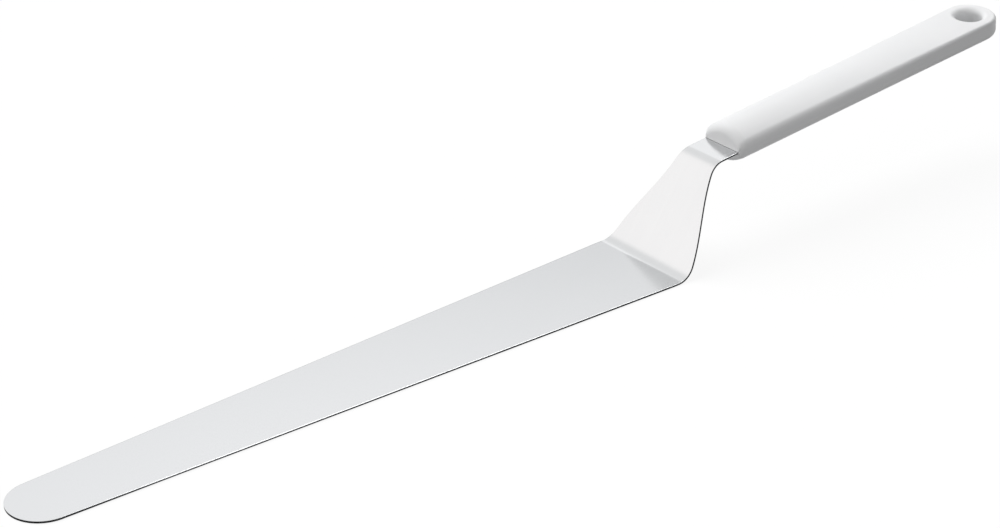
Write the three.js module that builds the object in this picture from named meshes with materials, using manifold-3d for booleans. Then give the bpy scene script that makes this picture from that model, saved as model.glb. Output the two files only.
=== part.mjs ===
// Offset icing spatula: a blade of sheet steel, cranked up at the heel, and a plastic handle moulded over
// its tang. Millimetres, +Z up, +X from the blade's tip to the handle's end. The blade's underside lies on
// Z = 0, and the origin is under the middle of the whole spatula.
import * as THREE from 'three';
import { mergeVertices } from 'three/addons/utils/BufferGeometryUtils.js';
import Module from 'manifold-3d';

const wasm = await Module();
wasm.setup();

// Blade: a flat, tapering leaf with a full-round tip.
const BLADE_LENGTH = 254; // tip to the corner where the heel bends up
const HEEL_WIDTH = 41.3;
const TIP_WIDTH = 23.3;
const SHEET_THICKNESS = 0.8;

// Neck: the sheet rises from the heel, draws in to a strip and bends back towards the handle.
const RISE = 32.6; // height of the upper corner over the heel's corner
const RISER_ANGLE = 56; // degrees from the blade's flat
const HEEL_BEND_RADIUS = 8.5; // both bends are measured on the sheet's middle
const NECK_BEND_RADIUS = 8;
const SHOULDER_SETBACK = 7.2; // the sides start to draw in this far before the heel bend's middle
const NECK_RUN_OUT = 4; // and are parallel this far past the upper bend's middle
const STRIP_LENGTH = 11.35; // upper corner to the handle's front

// Handle: an oval at the front, a nearly flat bar with small edge rounds at the rear, and round ended.
const HANDLE_PITCH = 5.15; // degrees
const HANDLE_LENGTH = 138.85;
const HANDLE_WIDTH = 20;
const FRONT_THICKNESS = 12.7;
const REAR_THICKNESS = 8.4;
const FRONT_FACE_SLOPE = 33; // degrees at which the domed top and bottom faces meet their edge rounds
const REAR_FACE_SLOPE = 3.5;
const FRONT_EDGE_RADIUS = 4.2; // rounds between the faces and the upright sides
const REAR_TOP_RADIUS = 1.1;
const END_TOP_RADIUS = 2.2; // the top's round grows to this at the very end
const REAR_BOTTOM_RADIUS = 2.5;
const FRONT_ROUND = 3; // radius of the front edge at the top and bottom
const FRONT_SIDE_ROUND = 3.2; // and at the sides
const FRONT_RAKE = 12; // degrees that the front face leans back
const FRONT_RAKE_LENGTH = 12; // behind this the sections are square to the handle
const HANDLE_LIFT = 0.9; // the handle's middle lies this far above the strip's middle
const HOLE_DIAMETER = 10.2; // hanging hole
const HOLE_TO_END = 10.2;
const HOLE_RIM_RADIUS = 2.2;

// Tang: the strip carries on inside the handle, narrower, and the handle's posts pass through its lock holes.
const STRIP_INSET = 1.9; // the strip's edges lie this far inside the handle's sides
const TANG_WALL = 4.4; // plastic beside the tang
const TANG_SHOULDER = 8; // length over which the strip draws in to the tang
const TANG_TO_HOLE = 28; // solid plastic between the tang and the hanging hole's rim
const LOCK_HOLE_DIAMETER = 5;
const LOCK_HOLE_COUNT = 3;
const TANG_CLEARANCE = 0.3; // between the tang and its slot, and between the posts and the lock holes

// Workings of the cuts and rounds.
const CUT_OVERRUN = 2; // a cutting body reaches this far past the faces that it cuts
const EDGE_LIMIT = 0.95; // the most of its half wall that an edge's round takes up
const MERGE_DISTANCE = 1e-4;

// Fineness of the curved stretches.
const TIP_STEPS = 14;
const BEND_STEPS = 8;
const NECK_STEPS = 22;
const HANDLE_STEPS = 16;
const EDGE_STEPS = 6;
const DOME_STEPS = 4;
const END_STEPS = 14;
const ROUND_STEPS = 7;
const HOLE_SIDES = 40;
const LOCK_SIDES = 24;

// Angles and lengths that follow from the driving sizes.
const riserAngle = THREE.MathUtils.degToRad(RISER_ANGLE);
const pitch = THREE.MathUtils.degToRad(HANDLE_PITCH);
const neckTurn = riserAngle - pitch;
const heelTangent = HEEL_BEND_RADIUS * Math.tan(riserAngle / 2);
const neckTangent = NECK_BEND_RADIUS * Math.tan(neckTurn / 2);
const riserLength = RISE / Math.sin(riserAngle);
const stripWidth = HANDLE_WIDTH - 2 * STRIP_INSET;
const tangWidth = HANDLE_WIDTH - 2 * (TANG_WALL + TANG_CLEARANCE);
const endCentre = HANDLE_LENGTH - HANDLE_WIDTH / 2;
const holeAt = HANDLE_LENGTH - HOLE_TO_END;
const tangLength = holeAt - HOLE_DIAMETER / 2 - HOLE_RIM_RADIUS - TANG_TO_HOLE;

// The developed length of the sheet, counted from the tip: flat, bend, riser, bend, strip, tang.
const heelStart = BLADE_LENGTH - heelTangent;
const heelEnd = heelStart + HEEL_BEND_RADIUS * riserAngle;
const neckStart = heelEnd + riserLength - heelTangent - neckTangent;
const neckEnd = neckStart + NECK_BEND_RADIUS * neckTurn;
const handleFront = neckEnd + STRIP_LENGTH - neckTangent;
const shoulderStart = (heelStart + heelEnd) / 2 - SHOULDER_SETBACK;
const shoulderEnd = (neckStart + neckEnd) / 2 + NECK_RUN_OUT;

// Where the tip's round meets the straight sides, as an angle at the round's centre, counted from +X.
const tipRadius = TIP_WIDTH / 2;
const flankReach = Math.hypot(BLADE_LENGTH - tipRadius, HEEL_WIDTH / 2);
const flankAngle = Math.atan2(HEEL_WIDTH / 2, BLADE_LENGTH - tipRadius) + Math.acos(tipRadius / flankReach);
const flankStart = tipRadius + tipRadius * Math.cos(flankAngle);
const flankSlope = Math.tan(flankAngle - Math.PI / 2);
const lastFacet = Math.PI / (4 * TIP_STEPS); // half angle of the short facet that closes a round end

// Rises smoothly from 0 to 1 as t goes from 0 to 1, and is level at both ends.
function ease(t) {
  return (1 - Math.cos(Math.PI * THREE.MathUtils.clamp(t, 0, 1))) / 2;
}

// The count + 1 evenly spaced values from first to last.
function steps(first, last, count) {
  return Array.from({ length: count + 1 }, (_, i) => first + ((last - first) * i) / count);
}

// Half width of the tang at a distance behind the handle's front, grown by a clearance all round.
function tangHalfWidth(along, clearance = 0) {
  const roundCentre = tangLength - tangWidth / 2;
  const roundRadius = tangWidth / 2 + clearance;
  if (along > roundCentre) {
    return Math.sqrt(Math.max(roundRadius ** 2 - (along - roundCentre) ** 2, 0));
  }
  const drawnIn = ease(along / TANG_SHOULDER);
  return THREE.MathUtils.lerp(stripWidth, tangWidth, drawnIn) / 2 + clearance;
}

// Distances behind the handle's front at which the tang is drawn.
function tangStations(clearance = 0) {
  const roundCentre = tangLength - tangWidth / 2;
  const roundRadius = tangWidth / 2 + clearance;
  const turns = steps(0, Math.PI / 2 - lastFacet, TIP_STEPS);
  const round = turns.map((angle) => roundCentre + roundRadius * Math.sin(angle));
  return [...steps(0, TANG_SHOULDER, ROUND_STEPS), ...round];
}

// Half width of the whole sheet at a developed length.
function sheetHalfWidth(length) {
  if (length < flankStart) {
    return Math.sqrt(tipRadius ** 2 - (tipRadius - length) ** 2);
  }
  if (length > handleFront) {
    return tangHalfWidth(length - handleFront);
  }
  const flank = HEEL_WIDTH / 2 + flankSlope * (length - BLADE_LENGTH);
  const drawnIn = ease((length - shoulderStart) / (shoulderEnd - shoulderStart));
  return THREE.MathUtils.lerp(flank, stripWidth / 2, drawnIn);
}

// Place and slope of the sheet's middle at a developed length, in the XZ plane, with the tip at x = 0.
function sheetMiddle(length) {
  const heelTurn = THREE.MathUtils.clamp((length - heelStart) / HEEL_BEND_RADIUS, 0, riserAngle);
  const backTurn = THREE.MathUtils.clamp((length - neckStart) / NECK_BEND_RADIUS, 0, neckTurn);
  const slope = heelTurn - backTurn;
  const onFlat = Math.min(length, heelStart);
  const onRiser = THREE.MathUtils.clamp(length - heelEnd, 0, neckStart - heelEnd);
  const onStrip = Math.max(length - neckEnd, 0);
  const x = onFlat + HEEL_BEND_RADIUS * Math.sin(heelTurn) + onRiser * Math.cos(riserAngle)
    + NECK_BEND_RADIUS * (Math.sin(riserAngle) - Math.sin(riserAngle - backTurn)) + onStrip * Math.cos(pitch);
  const z = SHEET_THICKNESS / 2 + HEEL_BEND_RADIUS * (1 - Math.cos(heelTurn)) + onRiser * Math.sin(riserAngle)
    + NECK_BEND_RADIUS * (Math.cos(riserAngle - backTurn) - Math.cos(riserAngle)) + onStrip * Math.sin(pitch);
  return { x, z, slope };
}

// Skins rings of equal point counts, first to last, and closes each open end with a fan.
function loft(rings, closeEnd = true) {
  const sides = rings[0].length;
  const positions = rings.flat().flatMap((point) => point.toArray());
  const triangles = [];
  for (let ring = 0; ring < rings.length - 1; ring += 1) {
    for (let side = 0; side < sides; side += 1) {
      const a = ring * sides + side;
      const b = ring * sides + ((side + 1) % sides);
      triangles.push([a, b, b + sides], [a, b + sides, a + sides]);
    }
  }
  const last = (rings.length - 1) * sides;
  for (let side = 1; side < sides - 1; side += 1) {
    triangles.push([0, side + 1, side]);
    if (closeEnd) {
      triangles.push([last, last + side, last + side + 1]);
    }
  }
  const geometry = new THREE.BufferGeometry();
  geometry.setAttribute('position', new THREE.Float32BufferAttribute(positions, 3));
  geometry.setIndex(triangles.flat());
  return geometry;
}

// A closed geometry as a solid: shared vertices are merged and triangles without area are dropped.
function solid(geometry) {
  const bare = geometry.clone();
  bare.deleteAttribute('normal');
  bare.deleteAttribute('uv');
  const merged = mergeVertices(bare, MERGE_DISTANCE);
  const index = merged.index.array;
  const kept = [];
  for (let i = 0; i < index.length; i += 3) {
    const corners = [index[i], index[i + 1], index[i + 2]];
    if (new Set(corners).size === 3) {
      kept.push(...corners);
    }
  }
  const vertProperties = Float32Array.from(merged.attributes.position.array);
  return new wasm.Manifold(new wasm.Mesh({ numProp: 3, vertProperties, triVerts: Uint32Array.from(kept) }));
}

// A named mesh from a solid.
function meshOf(name, body, material) {
  const { vertProperties, triVerts } = body.getMesh();
  const geometry = new THREE.BufferGeometry();
  geometry.setAttribute('position', new THREE.Float32BufferAttribute(vertProperties, 3));
  geometry.setIndex(new THREE.Uint32BufferAttribute(triVerts, 1));
  geometry.computeVertexNormals();
  const mesh = new THREE.Mesh(geometry, material);
  mesh.name = name;
  return mesh;
}

// One cross section of a sheet: a flat rectangle square to the sheet's run.
function sheetRing({ x, z, slope }, halfWidth, thickness) {
  const out = new THREE.Vector3(-Math.sin(slope), 0, Math.cos(slope)).multiplyScalar(thickness / 2);
  const middle = new THREE.Vector3(x, 0, z);
  const side = new THREE.Vector3(0, halfWidth, 0);
  return [
    middle.clone().sub(out).sub(side),
    middle.clone().sub(out).add(side),
    middle.clone().add(out).add(side),
    middle.clone().add(out).sub(side),
  ];
}

// Upright round bars at the lock holes, in the tang's own frame, which starts at the handle's front.
function lockBars(diameter, height) {
  const lockPitch = (tangLength - TANG_SHOULDER) / LOCK_HOLE_COUNT;
  return Array.from({ length: LOCK_HOLE_COUNT }, (_, i) => {
    const bar = new THREE.CylinderGeometry(diameter / 2, diameter / 2, height, LOCK_SIDES);
    return bar.rotateX(Math.PI / 2).translate(TANG_SHOULDER + lockPitch * (i + 0.5), 0, 0);
  });
}

// The tang's own frame: on the sheet's middle where it enters the handle, turned up by the pitch.
function tangFrame() {
  const { x, z, slope } = sheetMiddle(handleFront);
  return new THREE.Matrix4().makeRotationY(-slope).setPosition(x, 0, z);
}

function makeBlade() {
  const turns = steps(lastFacet, flankAngle, TIP_STEPS);
  const tip = turns.map((angle) => tipRadius - tipRadius * Math.cos(angle));
  const stations = [
    ...tip.slice(0, -1),
    flankStart,
    ...steps(shoulderStart, shoulderEnd, NECK_STEPS),
    ...steps(heelStart, heelEnd, BEND_STEPS),
    ...steps(neckStart, neckEnd, BEND_STEPS),
    ...tangStations().map((along) => handleFront + along),
  ];
  const run = [...new Set(stations)].sort((a, b) => a - b);
  const rings = run.map((at) => sheetRing(sheetMiddle(at), sheetHalfWidth(at), SHEET_THICKNESS));
  const bars = lockBars(LOCK_HOLE_DIAMETER, SHEET_THICKNESS + 2 * CUT_OVERRUN);
  const drills = bars.map((bar) => solid(bar.applyMatrix4(tangFrame())));
  const body = drills.reduce((rest, drill) => rest.subtract(drill), solid(loft(rings)));
  const steel = new THREE.MeshStandardMaterial({ color: 0xd3d6d8, roughness: 0.25, metalness: 1 });
  return meshOf('blade', body, steel);
}

// How far a quarter round of a radius lies in at a distance from the face that it starts on.
function roundedIn(along, radius) {
  return radius - Math.sqrt(radius ** 2 - Math.max(radius - along, 0) ** 2);
}

// One face of half the handle's section at a distance behind its front: from the side, over an edge round, to
// the face's middle, as points of sideways distance and height. The face is a dome that falls with the square
// of the sideways distance, and the round starts at the dome's slope and ends upright.
function handleFace(along, rearRadius) {
  const share = Math.min(along / endCentre, 1);
  const inset = roundedIn(along, FRONT_ROUND);
  const halfWidth = HANDLE_WIDTH / 2 - roundedIn(along, FRONT_SIDE_ROUND);
  const halfHeight = THREE.MathUtils.lerp(FRONT_THICKNESS, REAR_THICKNESS, share) / 2 - inset;
  const slope = THREE.MathUtils.degToRad(THREE.MathUtils.lerp(FRONT_FACE_SLOPE, REAR_FACE_SLOPE, share));
  const fall = Math.tan(slope) / 2; // of the dome, for each millimetre of its half width
  const wall = (halfHeight - fall * halfWidth) / (Math.cos(slope) - fall * (1 - Math.sin(slope)));
  const edge = THREE.MathUtils.lerp(FRONT_EDGE_RADIUS, rearRadius, share) - inset;
  const radius = Math.min(edge, EDGE_LIMIT * wall);
  const domeReach = halfWidth - radius * (1 - Math.sin(slope));
  const roundCentre = halfHeight - fall * domeReach - radius * Math.cos(slope);
  const round = steps(Math.PI / 2, slope, EDGE_STEPS).map((angle) => [
    halfWidth - radius + radius * Math.sin(angle),
    roundCentre + radius * Math.cos(angle),
  ]);
  const dome = steps(1, 0, DOME_STEPS).slice(1).map((reach) => [
    domeReach * reach,
    halfHeight - fall * domeReach * reach ** 2,
  ]);
  return [...round, ...dome];
}

// Half of the handle's section: from the bottom's middle, round the side, to the top's middle.
function handleHalfSection(along, topRadius = REAR_TOP_RADIUS) {
  const lower = handleFace(along, REAR_BOTTOM_RADIUS).map(([sideways, height]) => [sideways, -height]);
  return [...lower.reverse(), ...handleFace(along, topRadius)];
}

// A whole ring from a half section. Near the front it leans back with the front face. Past the end's centre
// its two halves swing round that centre by an angle and meet at 90 degrees.
function handleRing(half, along, swing = 0) {
  const lean = Math.tan(THREE.MathUtils.degToRad(FRONT_RAKE)) * (1 - ease(along / FRONT_RAKE_LENGTH));
  const place = ([sideways, height], hand) => new THREE.Vector3(
    along + lean * height + sideways * Math.sin(swing),
    hand * sideways * Math.cos(swing),
    height,
  );
  const left = half.map((point) => place(point, 1));
  const right = half.slice(1, -1).reverse().map((point) => place(point, -1));
  return [...left, ...right];
}

// The slot for the tang, with its clearance; the lock holes stay filled as posts.
function tangSlot() {
  const stations = [-CUT_OVERRUN, ...tangStations(TANG_CLEARANCE)];
  const thickness = SHEET_THICKNESS + 2 * TANG_CLEARANCE;
  const rings = stations.map((along) => {
    return sheetRing({ x: along, z: 0, slope: 0 }, tangHalfWidth(along, TANG_CLEARANCE), thickness);
  });
  const posts = lockBars(LOCK_HOLE_DIAMETER - 2 * TANG_CLEARANCE, thickness + 2 * CUT_OVERRUN);
  return posts.reduce((rest, post) => rest.subtract(solid(post)), solid(loft(rings)));
}

// The hanging hole: a round bar that flares at the top and bottom faces, which rounds the rims.
function hangingHole(thickness) {
  const radius = HOLE_DIAMETER / 2;
  const rim = steps(0, Math.PI / 2, ROUND_STEPS).map((angle) => new THREE.Vector2(
    radius + HOLE_RIM_RADIUS * (1 - Math.cos(angle)),
    thickness / 2 - HOLE_RIM_RADIUS * (1 - Math.sin(angle)),
  ));
  const reach = thickness / 2 + CUT_OVERRUN;
  const upper = [...rim, new THREE.Vector2(radius + HOLE_RIM_RADIUS, reach), new THREE.Vector2(0, reach)];
  const lower = upper.map((point) => new THREE.Vector2(point.x, -point.y)).reverse();
  const bar = new THREE.LatheGeometry([...lower, ...upper], HOLE_SIDES);
  return solid(bar.rotateX(Math.PI / 2).translate(holeAt, 0, 0));
}

function makeHandle() {
  const noseLength = Math.max(FRONT_ROUND, FRONT_SIDE_ROUND);
  const nose = steps(0, Math.PI / 2, ROUND_STEPS).map((angle) => noseLength * (1 - Math.cos(angle)));
  const body = steps(noseLength, endCentre, HANDLE_STEPS).slice(1);
  const rings = [...nose, ...body].map((along) => handleRing(handleHalfSection(along), along));
  const endRings = steps(0, Math.PI / 2, END_STEPS).slice(1).map((swing) => {
    const topRadius = THREE.MathUtils.lerp(REAR_TOP_RADIUS, END_TOP_RADIUS, ease((2 * swing) / Math.PI));
    return handleRing(handleHalfSection(endCentre, topRadius), endCentre, swing);
  });
  rings.push(...endRings);
  const holeShare = holeAt / endCentre;
  const thicknessAtHole = THREE.MathUtils.lerp(FRONT_THICKNESS, REAR_THICKNESS, Math.min(holeShare, 1));
  const moulding = solid(loft(rings, false).translate(0, 0, HANDLE_LIFT))
    .subtract(tangSlot())
    .subtract(hangingHole(thicknessAtHole).translate([0, 0, HANDLE_LIFT]));
  const plastic = new THREE.MeshStandardMaterial({ color: 0xf1f1f0, roughness: 0.5, metalness: 0 });
  return meshOf('handle', moulding, plastic);
}

// The handle sits in the tang's frame, and the whole spatula is centred over the origin.
const handleSeat = new THREE.Group();
handleSeat.applyMatrix4(tangFrame());
handleSeat.add(makeHandle());

const spatula = new THREE.Group();
spatula.name = 'icing_spatula';
spatula.add(makeBlade(), handleSeat);
const extent = new THREE.Box3().setFromObject(spatula, true);
spatula.position.x = -(extent.min.x + extent.max.x) / 2;
spatula.updateMatrixWorld(true);

export default spatula;
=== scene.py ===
# %% [markdown]
# # A cranked icing spatula
# A baker's icing spatula is a long leaf of springy steel with a step up at its heel, so that the knuckles stay
# clear of the cake. It is two pieces: a blade, blanked and bent from one sheet, and a handle moulded over its end.
# A frame of plain solids already fixes where both are and how large they are. This lesson keeps those sizes and
# makes the surfaces that are seen: the polished faces, the sheared edge and the soft white moulding.

# %% Load the frame and keep its box
import math

import bmesh
import bpy
import numpy as np
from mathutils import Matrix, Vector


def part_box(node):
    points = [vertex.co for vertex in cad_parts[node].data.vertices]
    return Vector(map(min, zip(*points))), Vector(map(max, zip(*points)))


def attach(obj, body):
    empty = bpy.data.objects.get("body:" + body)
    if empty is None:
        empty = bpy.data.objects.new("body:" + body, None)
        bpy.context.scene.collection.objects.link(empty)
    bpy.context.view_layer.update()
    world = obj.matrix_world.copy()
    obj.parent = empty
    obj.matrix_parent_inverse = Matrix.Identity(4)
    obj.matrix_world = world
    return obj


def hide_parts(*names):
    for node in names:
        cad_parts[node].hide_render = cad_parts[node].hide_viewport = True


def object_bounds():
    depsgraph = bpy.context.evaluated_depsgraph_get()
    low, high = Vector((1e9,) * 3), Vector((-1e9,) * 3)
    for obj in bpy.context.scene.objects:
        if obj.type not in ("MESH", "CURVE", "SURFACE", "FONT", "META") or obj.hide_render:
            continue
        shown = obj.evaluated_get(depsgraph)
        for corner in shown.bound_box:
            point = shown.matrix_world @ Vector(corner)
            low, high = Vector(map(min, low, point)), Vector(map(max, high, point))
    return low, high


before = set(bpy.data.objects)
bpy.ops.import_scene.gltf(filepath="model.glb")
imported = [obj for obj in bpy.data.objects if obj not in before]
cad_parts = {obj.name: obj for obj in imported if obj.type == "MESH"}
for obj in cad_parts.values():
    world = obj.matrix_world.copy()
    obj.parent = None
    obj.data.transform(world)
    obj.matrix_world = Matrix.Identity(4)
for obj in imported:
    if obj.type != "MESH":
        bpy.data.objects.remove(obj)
cad_low, cad_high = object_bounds()
scene = bpy.context.scene
MM = 0.001
print("frame box in mm:", [round(x / MM, 1) for x in (*cad_low, *cad_high)])

# %% [markdown]
# ## The camera
# The photograph looks down on the spatula from the tip's side. A camera could be turned by eye until the picture
# fits, but the object itself says where it stood: the tip and the hanging hole are circles and the blade's sides
# are straight, so their outlines fix the angle, the place and the focal length. The place is counted in millimetres
# from the blade's tip, on the floor. The focal length is in pixels of a picture 1000 wide, and becomes a lens by the
# sensor's width.

# %% Place the camera
CAMERA_AZIMUTH = -39.5239
CAMERA_ELEVATION = 27.7068
CAMERA_FROM_TIP = (-284.921, -571.329, 409.918)
FOCAL_PIXELS = 2530.84
IMAGE_WIDTH_PIXELS = 1000
SENSOR_WIDTH = 36

camera_data = bpy.data.cameras.new("photo_camera")
camera_data.sensor_fit = "HORIZONTAL"
camera_data.sensor_width = SENSOR_WIDTH
camera_data.lens = FOCAL_PIXELS * SENSOR_WIDTH / IMAGE_WIDTH_PIXELS
camera = bpy.data.objects.new("photo_camera", camera_data)
tip_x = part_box("blade")[0].x / MM
camera.location = [MM * (tip_x + CAMERA_FROM_TIP[0]), MM * CAMERA_FROM_TIP[1], MM * CAMERA_FROM_TIP[2]]
camera.rotation_euler = (math.radians(90 - CAMERA_ELEVATION), 0, math.radians(CAMERA_AZIMUTH))
scene.collection.objects.link(camera)
scene.camera = camera
scene.view_settings.view_transform = "Standard"
print("lens in mm:", round(camera_data.lens, 2))

# %% [markdown]
# ## Shader nodes in few words
# Every finish below is a small tree of nodes. Adding a node, setting its options and filling its inputs are three
# steps that repeat, so one helper does them: an input that is given another node's output is linked to it, and any
# other value is written on the socket.

# %% Helpers for nodes
def add_node(tree, kind, inputs=None, **options):
    """One shader node of a kind, with its options set and its inputs linked or filled."""
    node = tree.nodes.new(kind)
    for name, value in options.items():
        setattr(node, name, value)
    for name, value in (inputs or {}).items():
        if isinstance(value, bpy.types.NodeSocket):
            tree.links.new(value, node.inputs[name])
        else:
            node.inputs[name].default_value = value
    return node


def add_math(tree, operation, first, second):
    """The output of one Math node."""
    return add_node(tree, "ShaderNodeMath", {0: first, 1: second}, operation=operation).outputs[0]


def mix_colours(tree, share, first, second):
    """The output of a Mix node on colours, whose sockets 6 and 7 hold the two colours."""
    return add_node(tree, "ShaderNodeMix", {0: share, 6: first, 7: second}, data_type="RGBA").outputs[2]


def new_material(name):
    """A material with an empty tree of nodes."""
    material = bpy.data.materials.new(name)
    material.use_nodes = True
    material.node_tree.nodes.clear()
    return material, material.node_tree


print("node helpers ready")

# %% [markdown]
# ## The room
# Steel has next to no colour of its own: what the eye sees on it is the room, so the room is designed first. To the
# camera it is white. To a reflection it is a studio: a long bright band at mid height that fades to a cool grey at
# the horizon, a plainer ceiling above it, a bright sheet that spreads in from the left, and a lamp overhead on the
# right. The band makes the tone that runs along the blade, the sheet lights the riser, the step from sheet to ceiling
# draws the bends, and the lamp is the glint on the near edge. To the soft light on the plastic the room is a weak
# fill. A Light Path node tells these rays apart, and each part is a smooth step over the direction of the ray.

# %% Colour the studio
HORIZON_GLOW = (0.59, 0.60, 0.615, 1)
BAND_GLOW = (1.395, 1.395, 1.40, 1)
BAND_LEFT_GLOW = (1.25, 1.25, 1.26, 1)
CEILING_GLOW = (1.05, 1.05, 1.05, 1)
SHEET_GLOW = (1.335, 1.31, 1.30, 1)
LAMP_GLOW = (5.5, 5.5, 5.5, 1)
LAMP_DIRECTION = (0.56, 0.0, 0.83)
# Where each smooth step starts and ends: how far a ray's direction points right, up or at the lamp.
BAND_STEP = (0.30, 0.52)
HORIZON_STEP = (0.345, 0.56)
CEILING_STEP = (0.565, 0.66)
SHEET_STEP = (0.10, -0.32)
LAMP_STEP = (0.95, 0.98)


def ramp(tree, value, start, end, low=0.0, high=1.0):
    """A smooth step from low to high as a value goes from start to end; the end may lie below the start."""
    inputs = {"Value": value, "From Min": start, "From Max": end, "To Min": low, "To Max": high}
    return add_node(tree, "ShaderNodeMapRange", inputs, interpolation_type="SMOOTHSTEP").outputs[0]


world = bpy.data.worlds.new("studio")
scene.world = world
world.use_nodes = True
tree = world.node_tree
tree.nodes.clear()
direction = add_node(tree, "ShaderNodeTexCoord").outputs["Generated"]
rightward, _, upward = add_node(tree, "ShaderNodeSeparateXYZ", {0: direction}).outputs
lamp_dot = add_node(tree, "ShaderNodeVectorMath", {0: direction, 1: LAMP_DIRECTION}, operation="DOT_PRODUCT")
band = mix_colours(tree, ramp(tree, rightward, *BAND_STEP), BAND_LEFT_GLOW, BAND_GLOW)
glow = mix_colours(tree, ramp(tree, upward, *HORIZON_STEP), HORIZON_GLOW, band)
glow = mix_colours(tree, ramp(tree, upward, *CEILING_STEP), glow, CEILING_GLOW)
glow = mix_colours(tree, ramp(tree, rightward, *SHEET_STEP), glow, SHEET_GLOW)
glow = mix_colours(tree, ramp(tree, lamp_dot.outputs["Value"], *LAMP_STEP), glow, LAMP_GLOW)
print("studio coloured by", len(tree.nodes), "nodes")

# %% Show the studio to reflections only
WHITE = (1, 1, 1, 1)
FILL_STRENGTH = 0.44


def ray_kinds(tree):
    """Two outputs that tell rays apart: 1 for one from the camera, and 1 for one that was mirrored or let through."""
    ray = add_node(tree, "ShaderNodeLightPath").outputs
    return ray["Is Camera Ray"], add_math(tree, "MAXIMUM", ray["Is Glossy Ray"], ray["Is Transmission Ray"])


from_camera, mirrored = ray_kinds(tree)
reflected_room = add_node(tree, "ShaderNodeBackground", {"Color": glow, "Strength": 1}).outputs[0]
fill = add_node(tree, "ShaderNodeBackground", {"Color": WHITE, "Strength": FILL_STRENGTH}).outputs[0]
backdrop = add_node(tree, "ShaderNodeBackground", {"Color": WHITE, "Strength": 1}).outputs[0]
unseen = add_node(tree, "ShaderNodeMixShader", {0: mirrored, 1: fill, 2: reflected_room}).outputs[0]
room = add_node(tree, "ShaderNodeMixShader", {0: from_camera, 1: unseen, 2: backdrop}).outputs[0]
add_node(tree, "ShaderNodeOutputWorld", {"Surface": room})
print("room made, fill", FILL_STRENGTH)

# %% [markdown]
# ## The key light and the floor
# One large soft light stands above and behind, a little to the left. A lamp of the Sun kind with a wide angle is
# such a light with no fall-off, so the floor stays even. Its strength is pi times the brightness that it leaves on
# a white floor, over the cosine of its angle. It is hidden from reflections, which already see the bright sheet.
# The floor is a sheet that glows. The camera and reflections see it as white, with only a faint soft shadow, as on
# a light table. To the soft light on the plastic it glows less, and less still under the handle's rear, which lies
# furthest from the bright steel.

# %% Hang the key light
KEY_DIRECTION = np.array([-0.12, 0.61, 0.78])
KEY_ON_FLOOR = 0.52
KEY_SOFTNESS = 50

key_data = bpy.data.lights.new("key", "SUN")
key_data.energy = math.pi * KEY_ON_FLOOR * np.linalg.norm(KEY_DIRECTION) / KEY_DIRECTION[2]
key_data.angle = math.radians(KEY_SOFTNESS)
key = bpy.data.objects.new("key", key_data)
key.rotation_euler = (
    math.atan2(math.hypot(KEY_DIRECTION[0], KEY_DIRECTION[1]), KEY_DIRECTION[2]),
    0,
    math.atan2(KEY_DIRECTION[0], -KEY_DIRECTION[1]),
)
key.visible_glossy = False
scene.collection.objects.link(key)
print("key energy", round(key_data.energy, 3))

# %% Lay the floor
FLOOR_COLOUR = (0.14, 0.14, 0.14, 1)
FLOOR_GLOW = 0.87
FRONT_BOUNCE = 0.17
REAR_BOUNCE = 0.04
BOUNCE_STEP = (60 * MM, 220 * MM)
FLOOR_SIZE = 12
FLOOR_GAP = 0.05 * MM

floor_paint, tree = new_material("floor_sheet")
from_camera, mirrored = ray_kinds(tree)
seen = add_math(tree, "MAXIMUM", from_camera, mirrored)
place = add_node(tree, "ShaderNodeTexCoord").outputs["Object"]
lengthwise = add_node(tree, "ShaderNodeSeparateXYZ", {0: place}).outputs[0]
bounce = ramp(tree, lengthwise, *BOUNCE_STEP, FRONT_BOUNCE, REAR_BOUNCE)
shine = add_node(tree, "ShaderNodeMix", {0: seen, 2: bounce, 3: FLOOR_GLOW}).outputs[0]
glowing = add_node(tree, "ShaderNodeEmission", {"Color": WHITE, "Strength": shine}).outputs[0]
paper = add_node(tree, "ShaderNodeBsdfDiffuse", {"Color": FLOOR_COLOUR}).outputs[0]
both = add_node(tree, "ShaderNodeAddShader", {0: glowing, 1: paper}).outputs[0]
add_node(tree, "ShaderNodeOutputMaterial", {"Surface": both})

reach = FLOOR_SIZE / 2
floor_z = cad_low.z - FLOOR_GAP
floor_mesh = bpy.data.meshes.new("floor")
floor_plan = [(-reach, -reach), (reach, -reach), (reach, reach), (-reach, reach)]
floor_mesh.from_pydata([(x, y, floor_z) for x, y in floor_plan], [], [(0, 1, 2, 3)])
floor_mesh.materials.append(floor_paint)
floor = bpy.data.objects.new("floor", floor_mesh)
scene.collection.objects.link(floor)
print("floor lies at", round(floor_z / MM, 2), "mm")

# %% [markdown]
# ## Surfaces from grids
# Both pieces are surfaces that a formula gives: a point for every pair of numbers on a grid. Blender could make
# them from curves and bevels, but a formula keeps each size exact and lets one patch meet the next point for point.
# A piece is a few such patches. Points that fall together are merged, so the seams and poles are closed, and the
# faces are turned outwards.

# %% Helpers for grids
def mix(first, second, share):
    """The value that lies between two others, first + (second - first) times a share."""
    return first + (second - first) * share


def ease(share):
    """A smooth rise, half of one minus the cosine of pi times the share, level at 0 and at 1."""
    return (1 - np.cos(np.pi * np.clip(share, 0, 1))) / 2


def grid_quads(rows, columns, round_rows=False, round_columns=False):
    """Corner numbers of a grid's quads; a row or column that runs round joins its last line to its first."""
    row = np.arange(rows if round_rows else rows - 1)[:, None]
    column = np.arange(columns if round_columns else columns - 1)[None, :]
    next_row = (row + 1) % rows
    next_column = (column + 1) % columns
    corners = np.broadcast_arrays(
        row * columns + column,
        row * columns + next_column,
        next_row * columns + next_column,
        next_row * columns + column,
    )
    return np.stack(corners, -1).reshape(-1, 4)


print("a grid of 3 by 4 points has", len(grid_quads(3, 4)), "quads")

# %% Make an object of patches
MERGE_DISTANCE = 0.001 * MM
SHARP_ANGLE = math.radians(40)


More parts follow.
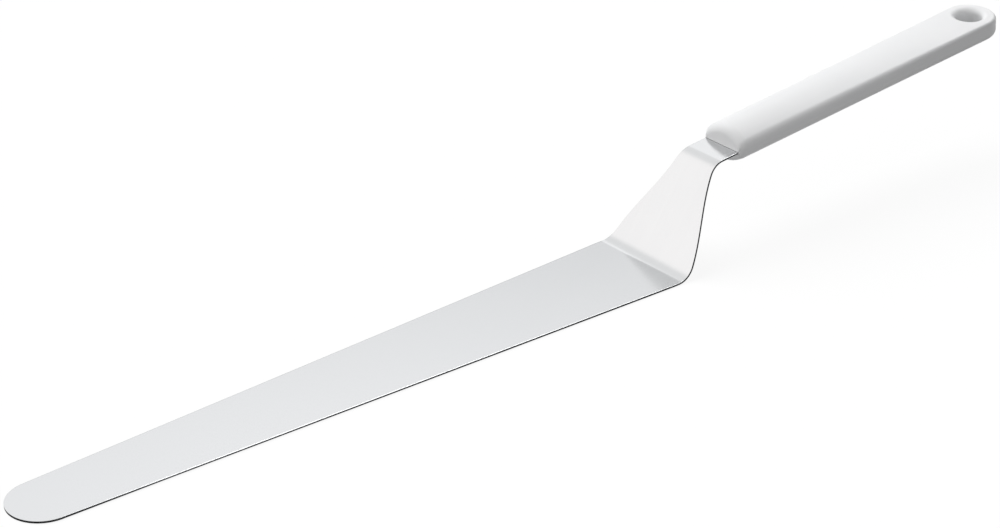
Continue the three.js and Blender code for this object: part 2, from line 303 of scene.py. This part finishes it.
def make_piece(name, patches, finishes):
    """One closed object from patches, each its points in millimetres, its quads and each quad's finish number."""
    points = np.concatenate([grid.reshape(-1, 3) for grid, _, _ in patches]) * MM
    firsts = np.cumsum([0] + [grid.size // 3 for grid, _, _ in patches])
    quads = np.concatenate([faces + first for (_, faces, _), first in zip(patches, firsts)])
    numbers = np.concatenate([np.broadcast_to(number, len(faces)) for _, faces, number in patches])
    mesh = bpy.data.meshes.new(name)
    mesh.from_pydata(points.tolist(), [], quads.tolist())
    mesh.polygons.foreach_set("material_index", numbers.astype(np.int32))
    work = bmesh.new()
    work.from_mesh(mesh)
    bmesh.ops.remove_doubles(work, verts=work.verts, dist=MERGE_DISTANCE)
    bmesh.ops.dissolve_degenerate(work, edges=work.edges, dist=MERGE_DISTANCE)
    bmesh.ops.recalc_face_normals(work, faces=work.faces)
    open_edges = sum(not edge.is_manifold for edge in work.edges)
    volume = work.calc_volume() / MM**3
    work.to_mesh(mesh)
    work.free()
    mesh.shade_smooth()
    mesh.set_sharp_from_angle(angle=SHARP_ANGLE)
    for finish in finishes:
        mesh.materials.append(finish)
    piece = bpy.data.objects.new(name, mesh)
    scene.collection.objects.link(piece)
    print(name, len(mesh.polygons), "faces,", open_edges, "open edges,", round(volume), "mm3")
    return piece


print("points closer than", round(MERGE_DISTANCE / MM, 3), "mm will be merged")

# %% [markdown]
# ## The blank
# The blade starts as a flat blank cut from sheet steel: a round tip, two straight sides that widen to the heel, a
# neck that draws in to a strip, and a narrower tang for the handle to grip. Every point of the blank is known by
# its length from the tip and its distance from the middle line. The outline is found in those flat sizes, because
# that is how the real one is drawn, and the bends come later.

# %% Sizes of the blade, in millimetres
BLADE_LENGTH = 254
HEEL_WIDTH = 41.3
TIP_WIDTH = 23.3
SHEET_THICKNESS = 0.8
RISE = 32.6
RISER_ANGLE = math.radians(56)
HEEL_BEND_RADIUS = 8.5
NECK_BEND_RADIUS = 8
SHOULDER_SETBACK = 7.2
NECK_RUN_OUT = 4
STRIP_LENGTH = 11.35
STRIP_WIDTH = 16.2
TANG_WIDTH = 10.6
TANG_SHOULDER = 8
TANG_LENGTH = 93.35
HANDLE_PITCH = math.radians(5.15)

neck_turn = RISER_ANGLE - HANDLE_PITCH
heel_tangent = HEEL_BEND_RADIUS * math.tan(RISER_ANGLE / 2)
neck_tangent = NECK_BEND_RADIUS * math.tan(neck_turn / 2)
heel_start = BLADE_LENGTH - heel_tangent
heel_end = heel_start + HEEL_BEND_RADIUS * RISER_ANGLE
neck_start = heel_end + RISE / math.sin(RISER_ANGLE) - heel_tangent - neck_tangent
neck_end = neck_start + NECK_BEND_RADIUS * neck_turn
handle_front = neck_end + STRIP_LENGTH - neck_tangent
shoulder_start = (heel_start + heel_end) / 2 - SHOULDER_SETBACK
shoulder_end = (neck_start + neck_end) / 2 + NECK_RUN_OUT
print("blank length in mm:", round(handle_front + TANG_LENGTH, 1))

# %% [markdown]
# ### How wide the blank is
# The straight sides touch the tip's round, so the angle where they leave it follows from the tip's radius and the
# heel's width. From the heel on, one eased step draws the width in to the strip and another draws it in to the tang.
# A curve could be pulled to the same outline by its handles, but a formula also gives the width at any length, and
# the slot in the plastic needs that.

# %% Half widths along the blank
tip_radius = TIP_WIDTH / 2
centre_to_heel = math.hypot(BLADE_LENGTH - tip_radius, HEEL_WIDTH / 2)
flank_angle = math.atan2(HEEL_WIDTH / 2, BLADE_LENGTH - tip_radius) + math.acos(tip_radius / centre_to_heel)
flank_start = tip_radius * (1 + math.cos(flank_angle))
flank_slope = math.tan(flank_angle - math.pi / 2)
tang_end_centre = TANG_LENGTH - TANG_WIDTH / 2


def tang_half_width(along, clearance=0.0):
    """Half the strip's width, eased to half the tang's over the shoulder, then a round end: root of r2 - d2."""
    straight = mix(STRIP_WIDTH, TANG_WIDTH, ease(along / TANG_SHOULDER)) / 2 + clearance
    end_radius = TANG_WIDTH / 2 + clearance
    into_end = np.clip(along - tang_end_centre, 0, end_radius)
    return np.where(along > tang_end_centre, np.sqrt(end_radius**2 - into_end**2), straight)


def blank_half_width(length):
    """The straight flank's line, eased to half the strip's width between the shoulder's two ends, then the tang."""
    flank = HEEL_WIDTH / 2 + flank_slope * (length - BLADE_LENGTH)
    narrowed = ease((length - shoulder_start) / (shoulder_end - shoulder_start))
    return np.where(
        length > handle_front,
        tang_half_width(length - handle_front),
        mix(flank, STRIP_WIDTH / 2, narrowed),
    )


print("flank leaves the tip's round at", round(math.degrees(flank_angle), 2), "degrees")

# %% [markdown]
# ### The blank's outline
# The outline needs points close together where the sheet will bend, and can have them further apart where it stays
# flat. A Subdivision modifier would add them everywhere, so instead each stretch, from the tip's round to the tang's
# end, has its own number of points. One half is enough, because the other is its mirror image.

# %% Outline of the blank
TIP_STEPS = 48
FLANK_STEPS = 60
BEND_STEPS = 36
RISER_STEPS = 48
STRIP_STEPS = 16
TANG_STEPS = 12

turn = np.linspace(0, flank_angle, TIP_STEPS + 1)
tip_line = np.stack([tip_radius * (1 - np.cos(turn)), tip_radius * np.sin(turn)], -1)
stretches = [
    np.linspace(flank_start, shoulder_start, FLANK_STEPS)[1:],
    np.linspace(shoulder_start, heel_start, STRIP_STEPS),
    np.linspace(heel_start, heel_end, BEND_STEPS),
    np.linspace(heel_end, neck_start, RISER_STEPS),
    np.linspace(neck_start, neck_end, BEND_STEPS),
    np.linspace(neck_end, handle_front, STRIP_STEPS),
    handle_front + np.linspace(0, TANG_SHOULDER, TANG_STEPS),
    handle_front + np.linspace(TANG_SHOULDER, tang_end_centre, TANG_STEPS),
]
lengths = np.unique(np.concatenate(stretches))
side_line = np.stack([lengths, blank_half_width(lengths)], -1)
turn = np.linspace(0, math.pi / 2, TANG_STEPS)[1:]
end_line = np.stack([tang_end_centre + TANG_WIDTH / 2 * np.sin(turn), TANG_WIDTH / 2 * np.cos(turn)], -1)
outline = np.concatenate([tip_line, side_line, end_line + [handle_front, 0]])
outline[[0, -1], 1] = 0
print("half outline has", len(outline), "points")

# %% [markdown]
# ## The edge
# A blanked edge isn't a knife's edge. Polishing rolls a bright round over both its arrises, and between the rounds
# the sheared face stays dull. Its near-black colour is painted shade, for the dark room that the edge mirrors. The
# wheel works along the straight flanks and hardly touches the tip's round or the bend, so the rounds are widest on
# the flanks and the dark line is widest at the tip and the riser. A Bevel modifier could round the arrises, but it
# would round them all alike. Here the edge's profile is carried along the outline, set in by its own distance along
# the outline's normal, with a radius that is read off between a few places, so the rounds and the dark face are rows
# of one grid with two finishes.

# %% Carry the edge along the outline
ROUND_PLACES = [0, 45, heel_start, heel_end, neck_start, handle_front]
ROUND_RADII = [0.03, 0.2, 0.08, 0.02, 0.02, 0.14]
ARRIS_STEPS = 6
POLISHED = 0
# The cut face's finish number; that face's near-black colour is painted shade.
SHEARED_PAINTED_SHADE = 1

tangent = np.gradient(outline, axis=0)
tangent[0] = (0, 1)
tangent[-1] = (0, -1)
normal = np.stack([-tangent[:, 1], tangent[:, 0]], -1) / np.linalg.norm(tangent, axis=1)[:, None]
mirror = np.array([1, -1])
loop = np.concatenate([outline, outline[-2:0:-1] * mirror])
loop_normal = np.concatenate([normal, normal[-2:0:-1] * mirror])

turn = np.linspace(0, math.pi / 2, ARRIS_STEPS + 1)
half_sheet = SHEET_THICKNESS / 2
arris = np.interp(loop[:, :1], ROUND_PLACES, ROUND_RADII)
set_in = np.concatenate([arris * (1 - np.sin(turn)), arris * (1 - np.sin(turn[::-1]))], -1)
height = np.concatenate([
    half_sheet - arris * (1 - np.cos(turn)),
    arris * (1 - np.cos(turn[::-1])) - half_sheet,
], -1)
edge_plan = loop[:, None, :] - set_in[..., None] * loop_normal[:, None, :]
edge = np.concatenate([edge_plan, height[..., None]], -1)
edge_quads = grid_quads(*height.shape, round_rows=True)
edge_rows = np.arange(height.shape[1] - 1)
edge_finish = np.tile(np.where(edge_rows == ARRIS_STEPS, SHEARED_PAINTED_SHADE, POLISHED), len(loop))
print("edge grid", edge.shape[:2])

# %% [markdown]
# ## The two faces
# Between the left and right edge each face is a plain grid: one row for every point of the half outline, running
# straight across. A narrow column beside each edge keeps the shading of the flat from bending towards the arris.

# %% Fill the faces between the edges
FACE_COLUMNS = 13
EDGE_COLUMN = 0.985

across = np.concatenate([[1], np.linspace(EDGE_COLUMN, -EDGE_COLUMN, FACE_COLUMNS), [-1]])


def blank_face(level):
    """Rows across the blank at one height, each from one set-in edge to the other."""
    rim = outline - arris[:len(outline)] * normal
    rows = np.broadcast_to(rim[:, :1], (len(rim), len(across)))
    columns = rim[:, 1:] * across
    return np.stack([rows, columns, np.full_like(columns, level)], -1)


upper_face = blank_face(half_sheet)
lower_face = blank_face(-half_sheet)
face_quads = grid_quads(*upper_face.shape[:2])
print("face grid", upper_face.shape[:2])

# %% [markdown]
# ## Bending the sheet
# A press bends the blank twice: up at the heel and back at the neck. Bending keeps lengths along the sheet's middle,
# so each length from the tip goes to a point on a line of flats and arcs, and a point off the middle moves along
# the sheet's own normal there. A SimpleDeform modifier bends too, but only as one arc, and this needs two arcs
# between three flats.

# %% Bend the blank into the blade
def bend(flat):
    """Length, distance across and height of the blank to x, y and z: flat, arc, riser, arc and strip in turn."""
    length, aside, lift = flat[..., 0], flat[..., 1], flat[..., 2]
    heel_turned = np.clip((length - heel_start) / HEEL_BEND_RADIUS, 0, RISER_ANGLE)
    neck_turned = np.clip((length - neck_start) / NECK_BEND_RADIUS, 0, neck_turn)
    back_turn = RISER_ANGLE - neck_turned
    on_flat = np.minimum(length, heel_start)
    on_riser = np.clip(length - heel_end, 0, neck_start - heel_end)
    on_strip = np.maximum(length - neck_end, 0)
    run = (
        on_flat
        + HEEL_BEND_RADIUS * np.sin(heel_turned)
        + on_riser * math.cos(RISER_ANGLE)
        + NECK_BEND_RADIUS * (math.sin(RISER_ANGLE) - np.sin(back_turn))
        + on_strip * math.cos(HANDLE_PITCH)
    )
    climb = (
        half_sheet
        + HEEL_BEND_RADIUS * (1 - np.cos(heel_turned))
        + on_riser * math.sin(RISER_ANGLE)
        + NECK_BEND_RADIUS * (np.cos(back_turn) - math.cos(RISER_ANGLE))
        + on_strip * math.sin(HANDLE_PITCH)
    )
    slope = heel_turned - neck_turned
    return np.stack([tip_x + run - lift * np.sin(slope), aside, climb + lift * np.cos(slope)], -1)


blade_patches = [
    (bend(upper_face), face_quads, POLISHED),
    (bend(edge), edge_quads, edge_finish),
    (bend(lower_face), face_quads, POLISHED),
]
print("blade spans x", bend(edge)[..., 0].min().round(2), "to", bend(edge)[..., 0].max().round(2))

# %% [markdown]
# ## Polished steel
# The faces are ground along their length and then buffed, which leaves a soft mirror with the finest of lines. An
# image could show such lines, but a noise has no seams and stays sharp close up. This one is stretched some 250 times
# along the sheet: it changes quickly across, in Y, and slowly in X and Z, so it follows the flat and the riser alike.
# A second, cloudy noise stands for uneven buffing. Both go mostly into the roughness, because real lines blur a
# reflection more than they darken it, and a little into the colour. The lines also make a very shallow bump.

# %% Helpers for finishes
NOISE_LOW = 0.3
NOISE_HIGH = 0.7
BUMP_DISTANCE = 0.05 * MM


def noise(tree, scale, detail, stretch=(1, 1, 1)):
    """A noise between 0 and 1 on Object coordinates, stretched by a scale for each axis."""
    place = add_node(tree, "ShaderNodeTexCoord").outputs["Object"]
    stretched = add_node(tree, "ShaderNodeMapping", {"Vector": place, "Scale": stretch}).outputs[0]
    return add_node(tree, "ShaderNodeTexNoise", {"Vector": stretched, "Scale": scale, "Detail": detail}).outputs[0]


def spread(tree, value, low=0.0, high=1.0):
    """A noise's middle range, spread out evenly between two values."""
    inputs = {"Value": value, "From Min": NOISE_LOW, "From Max": NOISE_HIGH, "To Min": low, "To Max": high}
    return add_node(tree, "ShaderNodeMapRange", inputs).outputs[0]


def add_bump(tree, height, strength):
    """The normal of a surface that a noise lifts by the bump's distance times a strength."""
    inputs = {"Height": height, "Strength": strength, "Distance": BUMP_DISTANCE}
    return add_node(tree, "ShaderNodeBump", inputs).outputs[0]


def add_surface(tree, bsdf_inputs):
    """A Principled shader on the material's output."""
    bsdf = add_node(tree, "ShaderNodeBsdfPrincipled", bsdf_inputs)
    add_node(tree, "ShaderNodeOutputMaterial", {"Surface": bsdf.outputs[0]})


print("finish helpers ready")

# %% The steel's finish
STEEL_DARK = (0.640, 0.648, 0.656, 1)
STEEL_LIGHT = (0.685, 0.692, 0.698, 1)
STEEL_ROUGHNESS = (0.15, 0.22)
LINE_SCALE = (14, 3600, 14)
LINE_DETAIL = 4
LINE_BUMP = 0.02
CLOUD_SCALE = 28
CLOUD_DETAIL = 3

polished_steel, tree = new_material("polished_steel")
lines = noise(tree, 1, LINE_DETAIL, LINE_SCALE)
clouds = noise(tree, CLOUD_SCALE, CLOUD_DETAIL)
tone = add_math(tree, "DIVIDE", add_math(tree, "ADD", lines, clouds), 2)
add_surface(tree, {
    "Base Color": mix_colours(tree, spread(tree, tone), STEEL_DARK, STEEL_LIGHT),
    "Metallic": 1,
    "Roughness": spread(tree, tone, *STEEL_ROUGHNESS),
    "Normal": add_bump(tree, lines, LINE_BUMP),
})
print("polished steel ready")

# %% [markdown]
# ## The sheared edge, painted dark
# Shearing drags the metal, so the cut face is matt and streaked from top to bottom. Its colour is far darker than any
# steel: that is painted shade, standing in for the dark room that the edge mirrors. It is the thin dark line that
# draws the blade's near side. The streaks are a noise that changes quickly along the edge and slowly in height.

# %% The edge's finish
# Near-black colours of the cut face: painted shade, for the dark room that the edge mirrors.
EDGE_SHADE_DARK = (0.010, 0.0105, 0.011, 1)
EDGE_SHADE_LIGHT = (0.030, 0.031, 0.032, 1)
EDGE_ROUGHNESS = (0.38, 0.55)
STREAK_SCALE = (2500, 2500, 300)
STREAK_DETAIL = 3
STREAK_BUMP = 0.3

# The cut face's material, whose dark colour is painted shade; its streaks, roughness and bump are the real cut.
sheared_steel_painted_shade, tree = new_material("sheared_steel_painted_shade")
streaks = noise(tree, 1, STREAK_DETAIL, STREAK_SCALE)
add_surface(tree, {
    "Base Color": mix_colours(tree, spread(tree, streaks), EDGE_SHADE_DARK, EDGE_SHADE_LIGHT),
    "Metallic": 1,
    "Roughness": spread(tree, streaks, *EDGE_ROUGHNESS),
    "Normal": add_bump(tree, streaks, STREAK_BUMP),
})
blade = make_piece("spatula_blade", blade_patches, [polished_steel, sheared_steel_painted_shade])

# %% [markdown]
# ## The handle's section
# The handle changes along its length: an oval at the front, where the fingers close round it, and a thin, nearly flat
# bar at the rear. One quarter of a section says it all: a short upright side, a round, and half of a domed face. The
# dome falls with the square of the distance from the middle, and the round starts at the dome's own slope, so the
# two run smoothly into each other. Slope and round both shrink towards the rear. The top and the bottom differ only
# in how far their rounds shrink, and the left is a mirror image of the right.

# %% Sizes of the handle, in millimetres
HANDLE_LENGTH = 138.85
HANDLE_WIDTH = 20
FRONT_THICKNESS = 12.7
REAR_THICKNESS = 8.4
FRONT_FACE_SLOPE = math.radians(33)
REAR_FACE_SLOPE = math.radians(3.5)
FRONT_EDGE_RADIUS = 4.2
REAR_TOP_RADIUS = 1.1
END_TOP_RADIUS = 2.2
REAR_BOTTOM_RADIUS = 2.5
FRONT_ROUND = 3
FRONT_SIDE_ROUND = 3.2
FRONT_RAKE = math.radians(12)
FRONT_RAKE_LENGTH = 12
HANDLE_LIFT = 0.9
HOLE_RADIUS = 5.1
HOLE_TO_END = 10.2
HOLE_RIM_RADIUS = 2.2

end_centre = HANDLE_LENGTH - HANDLE_WIDTH / 2
hole_centre = HANDLE_LENGTH - HOLE_TO_END
handle_origin = bend(np.array([handle_front, 0.0, 0.0]))
print("handle starts at", handle_origin.round(2))

# %% [markdown]
# ### Drawing the section
# The formula gives a quarter section at any distance from the handle's front, and four quarters make a ring. The ring
# is then seated on the strip's line, which climbs a little, and near the front it leans back. One drawn section that
# is scaled along the handle would be simpler, but it would shrink the edge's round together with the thickness, and
# the real round shrinks faster.

# %% One quarter of a section
SIDE_STEPS = 5
CORNER_STEPS = 18
FACE_STEPS = 12

corner_index = SIDE_STEPS + CORNER_STEPS


def drawn_in(along, radius):
    """How far a quarter round lies in at a distance from its start: the radius less the root of r2 - (r - along)2."""
    return radius - np.sqrt(radius**2 - np.clip(radius - along, 0, radius) ** 2)


def dome(along, rear_radius):
    """Sizes of a face: half width, half height, edge round's radius, slope where the round meets the dome, half width
    of the dome and its fall, which is half the tangent of the slope times that half width."""
    share = np.clip(along / end_centre, 0, 1)
    inset = drawn_in(along, FRONT_ROUND)
    half_width = HANDLE_WIDTH / 2 - drawn_in(along, FRONT_SIDE_ROUND)
    half_height = mix(FRONT_THICKNESS, REAR_THICKNESS, share) / 2 - inset
    radius = mix(FRONT_EDGE_RADIUS, rear_radius, share) - inset
    slope = mix(FRONT_FACE_SLOPE, REAR_FACE_SLOPE, share)
    reach = half_width - radius * (1 - np.sin(slope))
    return half_width, half_height, radius, slope, reach, np.tan(slope) * reach / 2


def quarter(along, rear_radius):
    """Sideways distance and height of a quarter section: up the side, round the edge and in over the dome."""
    along, rear_radius = np.broadcast_arrays(np.atleast_1d(along)[:, None], np.atleast_1d(rear_radius)[:, None])
    half_width, half_height, radius, slope, reach, fall = dome(along, rear_radius)
    round_centre = half_height - fall - radius * np.cos(slope)
    up_side = np.linspace(0, 1, SIDE_STEPS, endpoint=False)[None, :]
    turn = mix(math.pi / 2, slope, np.linspace(0, 1, CORNER_STEPS + 1)[None, :])
    inward = np.linspace(1, 0, FACE_STEPS + 1)[None, 1:]
    sideways = [half_width + 0 * up_side, half_width - radius + radius * np.sin(turn), reach * inward]
    height = [round_centre * up_side, round_centre + radius * np.cos(turn), half_height - fall * inward**2]
    return np.concatenate(sideways, 1), np.concatenate(height, 1)


print("quarter has", quarter(0.0, REAR_TOP_RADIUS)[0].shape[1], "points")

# %% Rings and their place
def whole_ring(along):
    """A whole section as one ring: from one side over the top, down the other side and back below."""
    top_side, top_height = quarter(along, REAR_TOP_RADIUS)
    low_side, low_height = quarter(along, REAR_BOTTOM_RADIUS)
    aside = [top_side, -top_side[:, -2::-1], -low_side[:, 1:], low_side[:, -2:0:-1]]
    up = [top_height, top_height[:, -2::-1], -low_height[:, 1:], -low_height[:, -2:0:-1]]
    return np.concatenate(aside, 1), np.concatenate(up, 1)


def seat(along, sideways, height):
    """Places handle sizes: along the strip's line from its front, sideways, and up from the handle's middle."""
    along, sideways, height = np.broadcast_arrays(along, sideways, height + HANDLE_LIFT)
    return np.stack([
        handle_origin[0] + along * math.cos(HANDLE_PITCH) - height * math.sin(HANDLE_PITCH),
        sideways,
        handle_origin[2] + along * math.sin(HANDLE_PITCH) + height * math.cos(HANDLE_PITCH),
    ], -1)


def leaned(along, height):
    """A place near the front, moved back in step with its height, because the front face leans."""
    return along + math.tan(FRONT_RAKE) * (1 - ease(along / FRONT_RAKE_LENGTH)) * height


print("ring has", whole_ring(0.0)[0].shape[1], "points")

# %% [markdown]
# ## The grip
# The grip is that section carried along the handle. Over the first stretch the section is drawn in along quarter
# circles, a tight one at the top and bottom and a wider one at the sides, which makes the soft nose, and it leans
# back, as the front face does on the real moulding. The surface stops short of the hanging hole, where a plain tube
# no longer fits the shape.

# %% Loft the grip
FRONT_START = 0.8
ROUND_STEPS = 14
GRIP_STEPS = 80
REAR_START = 110
MOULDED = 0

turn = np.linspace(math.acos(1 - FRONT_START / FRONT_SIDE_ROUND), math.pi / 2, ROUND_STEPS + 1)
grip_along = np.concatenate([
    FRONT_SIDE_ROUND * (1 - np.cos(turn)),
    np.linspace(FRONT_SIDE_ROUND, REAR_START, GRIP_STEPS)[1:],
])
grip_side, grip_height = whole_ring(grip_along)
grip = seat(leaned(grip_along[:, None], grip_height), grip_side, grip_height)
handle_patches = [(grip, grid_quads(*grip.shape[:2], round_columns=True), MOULDED)]
print("grip grid", grip.shape[:2])

# %% [markdown]
# ## The front face and the tang's slot
# The plastic is moulded round the steel and shrinks away from it by a hair, so a thin dark gap shows at the mouth.
# Pushing the strip through a closed face would lose that gap and make the two pieces overlap, so the face gets a
# real slot. One patch runs from the first ring of the grip inwards to the slot's mouth, and another follows the slot
# in to its round end. Each ring point has its own point on the mouth: those on the side go to the mouth's short side
# and the others spread along its long sides. The nose's round carries on over the first patch, wider where the ring
# faces sideways.

# %% Front face
SLOT_CLEARANCE = 0.1
FACE_RINGS = 14
FACE_RING_SPACING = 1.6

ring_side, ring_height = grip_side[0], grip_height[0]
corner_at = np.abs(ring_height) / ring_height[SIDE_STEPS]
mouth_share = ring_side / ring_side.max()
mouth_up = np.clip(corner_at, 0, 1) * np.sign(ring_height) * (half_sheet + SLOT_CLEARANCE) - HANDLE_LIFT
mouth_side = mouth_share * tang_half_width(0.0, SLOT_CLEARANCE)
inward = np.linspace(0, 1, FACE_RINGS + 1)[:, None] ** FACE_RING_SPACING
face_side = mix(ring_side, mouth_side, inward)
face_height = mix(ring_height, mouth_up, inward)
step_side = np.roll(ring_side, -1) - np.roll(ring_side, 1)
step_up = np.roll(ring_height, -1) - np.roll(ring_height, 1)
sideways_share = step_up**2 / (step_side**2 + step_up**2)
nose_round = mix(FRONT_ROUND, FRONT_SIDE_ROUND, sideways_share)
from_ring = inward * np.hypot(mouth_side - ring_side, mouth_up - ring_height)
face_along = drawn_in(drawn_in(FRONT_START, nose_round) + from_ring, nose_round)
front = seat(leaned(face_along, face_height), face_side, face_height)
handle_patches += [(front, grid_quads(*front.shape[:2], round_columns=True), MOULDED)]
print("front grid", front.shape[:2])

# %% The tang's slot
SLOT_START = 0.6
SLOT_STEPS = 14

turn = np.linspace(0, math.pi / 2, SLOT_STEPS)
slot_along = np.concatenate([
    np.linspace(SLOT_START, TANG_SHOULDER, SLOT_STEPS),
    tang_end_centre + (TANG_WIDTH / 2 + SLOT_CLEARANCE) * np.sin(turn),
])
slot_side = mouth_share * tang_half_width(slot_along, SLOT_CLEARANCE)[:, None]
slot = np.concatenate([front[-1:], seat(slot_along[:, None], slot_side, mouth_up[None, :])])
handle_patches += [(slot, grid_quads(*slot.shape[:2], round_columns=True), MOULDED)]
print("slot grid", slot.shape[:2])

# %% [markdown]
# ## The rear and the hanging hole
# The rear is a bar with a round end and a hole through it. A Boolean could cut the hole, but it leaves long thin
# faces that shade badly. Instead the side band, corner to corner, is carried along one flank, round the end and
# back, and each face is a patch of spokes from the hole's rim to the edge of that band. The rim itself is a quarter
# circle on each face with a straight wall between. Towards the very end the top's edge grows softer.

# %% Side band round the end
FLANK_STATIONS = 24
END_STATIONS = 36

path_along = np.concatenate([np.linspace(REAR_START, end_centre, FLANK_STATIONS), np.full(END_STATIONS, end_centre)])
swing = np.concatenate([np.zeros(FLANK_STATIONS), np.linspace(0, math.pi / 2, END_STATIONS + 1)[1:]])[:, None]
top_round = mix(REAR_TOP_RADIUS, END_TOP_RADIUS, ease(2 * swing[:, 0] / math.pi))
low_round = np.full(len(path_along), REAR_BOTTOM_RADIUS)
top_side, top_height = quarter(path_along, top_round)
low_side, low_height = quarter(path_along, low_round)
band_side = np.concatenate([low_side[:, corner_index:0:-1], top_side[:, :corner_index + 1]], 1)
band_up = np.concatenate([-low_height[:, corner_index:0:-1], top_height[:, :corner_index + 1]], 1)
band_along = path_along[:, None] + band_side * np.sin(swing)
band_aside = band_side * np.cos(swing)
band_quads = grid_quads(*band_side.shape)
handle_patches += [(seat(band_along, hand * band_aside, band_up), band_quads, MOULDED) for hand in (1, -1)]
print("band grid", band_side.shape)

# %% [markdown]
# ### The faces round the hole
# Each spoke starts on the hole's rim and ends at its own point on the face's edge. Its height comes from the dome's
# formula, so the face carries on from the grip without a crease. The rim's quarter circles and the wall between them
# use the same spokes, so each patch meets the next point for point.

# %% Edges of the rear's faces
def around(across, flank, back):
    """Values on the edge of a face: across the grip's last ring, along one flank, round the end and back."""
    return np.concatenate([across, flank[1:], back[-2:0:-1]])


def face_edge(side, column, rounds):
    """The edge of a face in plan, and the radius of the edge's round at each of its points."""
    start = side[0, corner_index:]
    across = np.concatenate([start, -start[-2::-1]])
    along = around(np.full(len(across), REAR_START), band_along[:, column], band_along[:, column])
    aside = around(across, -band_aside[:, column], band_aside[:, column])
    return np.stack([along, aside], -1), around(np.full(len(across), rounds[0]), rounds, rounds)


top_edge, top_edge_round = face_edge(top_side, -1, top_round)
low_edge, low_edge_round = face_edge(low_side, 0, low_round)
print("each face has", len(top_edge), "points on its edge")

# %% Faces of the rear
SPOKE_STEPS = 18


def face_level(plan, rear_radius):
    """Height of a face over its plan: half the thickness, less the dome's fall times the square of the distance from
    the middle line, or past the end's centre from that centre, over the dome's half width."""
    along, aside = plan[..., 0], plan[..., 1]
    _, half_height, _, _, reach, fall = dome(along, rear_radius)
    past_end = np.maximum(along - end_centre, 0)
    return half_height - fall * (past_end**2 + aside**2) / reach**2


spoke_angle = np.arctan2(top_edge[:, 1], top_edge[:, 0] - hole_centre)
spoke = np.stack([np.cos(spoke_angle), np.sin(spoke_angle)], -1)
hole_plan = np.array([hole_centre, 0]) + (HOLE_RADIUS + HOLE_RIM_RADIUS) * spoke
out = np.linspace(0, 1, SPOKE_STEPS + 1)[:, None, None]
top_plan = mix(hole_plan, top_edge, out)
low_plan = mix(hole_plan, low_edge, out)
top_level = face_level(top_plan, top_edge_round)
low_level = -face_level(low_plan, low_edge_round)
spoke_quads = grid_quads(*top_level.shape, round_columns=True)
handle_patches += [
    (seat(top_plan[..., 0], top_plan[..., 1], top_level), spoke_quads, MOULDED),
    (seat(low_plan[..., 0], low_plan[..., 1], low_level), spoke_quads, MOULDED),
]
print("spoke grid", top_level.shape)

# %% Rim and wall of the hole
RIM_STEPS = 10
WALL_STEPS = 6

turn = np.linspace(0, math.pi / 2, RIM_STEPS + 1)[:, None]
rim_radius = HOLE_RADIUS + HOLE_RIM_RADIUS * (1 - np.sin(turn))
rim_drop = HOLE_RIM_RADIUS * (1 - np.cos(turn))
top_rim = top_level[0] - rim_drop
low_rim = low_level[0] + rim_drop[::-1]
wall = mix(top_rim[-1], low_rim[0], np.linspace(0, 1, WALL_STEPS + 1)[1:-1, None])
hole_height = np.concatenate([top_rim, wall, low_rim])
wall_radius = np.full((len(wall), 1), HOLE_RADIUS)
hole_radius = np.concatenate([rim_radius, wall_radius, rim_radius[::-1]])
hole = seat(hole_centre + hole_radius * spoke[:, 0], hole_radius * spoke[:, 1], hole_height)
handle_patches += [(hole, grid_quads(*hole.shape[:2], round_columns=True), MOULDED)]
print("hole grid", hole.shape[:2])

# %% [markdown]
# ## White plastic
# The moulding is a dense white plastic, smooth with a low sheen. Its white isn't perfectly even: the melt leaves
# faint clouds, and the mould's skin a fine grain that breaks up the sheen. Both are noises on Object coordinates,
# the clouds in the colour, the grain in the roughness and in a shallow bump.

# %% The plastic's finish
PLASTIC_DARK = (0.852, 0.858, 0.866, 1)
PLASTIC_LIGHT = (0.876, 0.880, 0.885, 1)
PLASTIC_ROUGHNESS = (0.38, 0.5)
PLASTIC_SHEEN = 0.3
MELT_SCALE = 40
MELT_DETAIL = 4
GRAIN_SCALE = 1800
GRAIN_DETAIL = 2
GRAIN_BUMP = 0.12

white_plastic, tree = new_material("white_plastic")
melt = noise(tree, MELT_SCALE, MELT_DETAIL)
grain = noise(tree, GRAIN_SCALE, GRAIN_DETAIL)
add_surface(tree, {
    "Base Color": mix_colours(tree, spread(tree, melt), PLASTIC_DARK, PLASTIC_LIGHT),
    "Metallic": 0,
    "Specular IOR Level": PLASTIC_SHEEN,
    "Roughness": spread(tree, grain, *PLASTIC_ROUGHNESS),
    "Normal": add_bump(tree, grain, GRAIN_BUMP),
})
handle = make_piece("spatula_handle", handle_patches, [white_plastic])

# %% [markdown]
# ## Handing over
# Each new piece stands for one solid of the frame, which it hides, and rides on the frame's one body.

# %% Tie the pieces to the frame
for piece, node, slot in ((blade, "blade", "blade_steel"), (handle, "handle", "handle_plastic")):
    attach(piece, "root")
    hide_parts(node)
